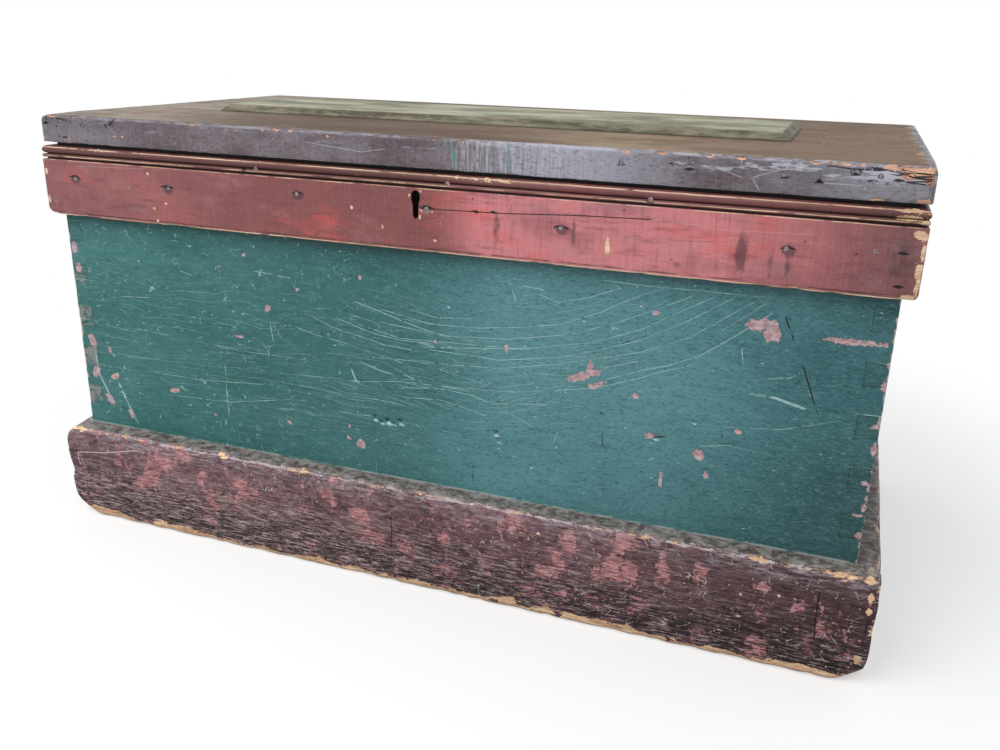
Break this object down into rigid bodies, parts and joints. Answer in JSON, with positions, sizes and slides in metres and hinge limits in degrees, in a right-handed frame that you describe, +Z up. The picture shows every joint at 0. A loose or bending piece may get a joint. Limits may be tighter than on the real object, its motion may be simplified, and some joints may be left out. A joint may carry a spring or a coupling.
{
  "type": "painted trunk",
  "caption": "Dovetailed pine trunk in worn paint, with a moulded band, a plinth, a hinged frame-and-panel lid, a chest lock and drop handles.",
  "frame": {"origin": "on the floor, under the middle of the plinth", "axes": "+X to the trunk's right along its length as seen from the front, +Y to the back where the hinges are, +Z up"},
  "size_m": [0.96, 0.522, 0.505],
  "materials": {
    "green_paint": "worn teal-green oil paint on pine, scratched and chipped to a pink primer, bare wood inside",
    "bare_pine": "unpainted old pine",
    "maroon_paint": "dark maroon paint scuffed to brick pink, worn to bare wood at the edges",
    "red_paint": "brick-red paint with brush lines, worn pale on its edges",
    "brown_paint": "grey-brown paint and varnish, worn and stained",
    "olive_paint": "olive-green paint with a soft sheen, its bevel darker",
    "dark_iron": "dark forged iron with a little rust",
    "lock_brass": "dull brass"
  },
  "bodies": {
    "chest": {"case_front": "green_paint", "case_back": "green_paint", "case_left": "green_paint", "case_right": "green_paint", "bottom_boards": "bare_pine", "glue_blocks": "bare_pine", "plinth_front": "maroon_paint", "plinth_back": "maroon_paint", "plinth_left": "maroon_paint", "plinth_right": "maroon_paint", "band_front": "red_paint", "band_back": "red_paint", "band_left": "red_paint", "band_right": "red_paint", "hinge_case_leaf_left": "dark_iron", "hinge_pin_left": "dark_iron", "hinge_case_leaf_right": "dark_iron", "hinge_pin_right": "dark_iron", "hinge_case_screws": "dark_iron", "lock_case": "lock_brass", "lock_cap": "lock_brass", "lock_spring": "dark_iron", "lock_screws": "dark_iron", "handle_plate_left": "dark_iron", "handle_eyes_left": "dark_iron", "handle_plate_right": "dark_iron", "handle_eyes_right": "dark_iron", "handle_screws": "dark_iron", "band_nails": "dark_iron", "plinth_nails": "dark_iron", "bottom_nails": "dark_iron"},
    "lid": {"lid_rail_front": "brown_paint", "lid_rail_back": "brown_paint", "lid_stile_left": "brown_paint", "lid_stile_right": "brown_paint", "lid_panel": "olive_paint", "rim_front": "brown_paint", "rim_left": "brown_paint", "rim_right": "brown_paint", "hinge_lid_leaf_left": "dark_iron", "hinge_lid_leaf_right": "dark_iron", "hinge_lid_screws": "dark_iron", "link_plate": "lock_brass", "link_screws": "dark_iron", "rim_nails": "dark_iron"},
    "bolt": {"lock_bolt": "lock_brass"},
    "bail_left": {"handle_bail_left": "dark_iron"},
    "bail_right": {"handle_bail_right": "dark_iron"}
  },
  "joints": [
    {"name": "lid_hinge", "type": "hinge", "parent": "chest", "child": "lid", "pos_m": [0, 0.2429, 0.476], "axis": [-1, 0, 0], "range_deg": [0, 100]},
    {"name": "bolt_slide", "type": "slide", "parent": "chest", "child": "bolt", "axis": [1, 0, 0], "range_m": [0, 0.009]},
    {"name": "bail_left_swing", "type": "hinge", "parent": "chest", "child": "bail_left", "pos_m": [-0.4635, 0, 0.306], "axis": [0, 1, 0], "range_deg": [0, 170]},
    {"name": "bail_right_swing", "type": "hinge", "parent": "chest", "child": "bail_right", "pos_m": [0.4635, 0, 0.306], "axis": [0, -1, 0], "range_deg": [0, 170]}
  ]
}
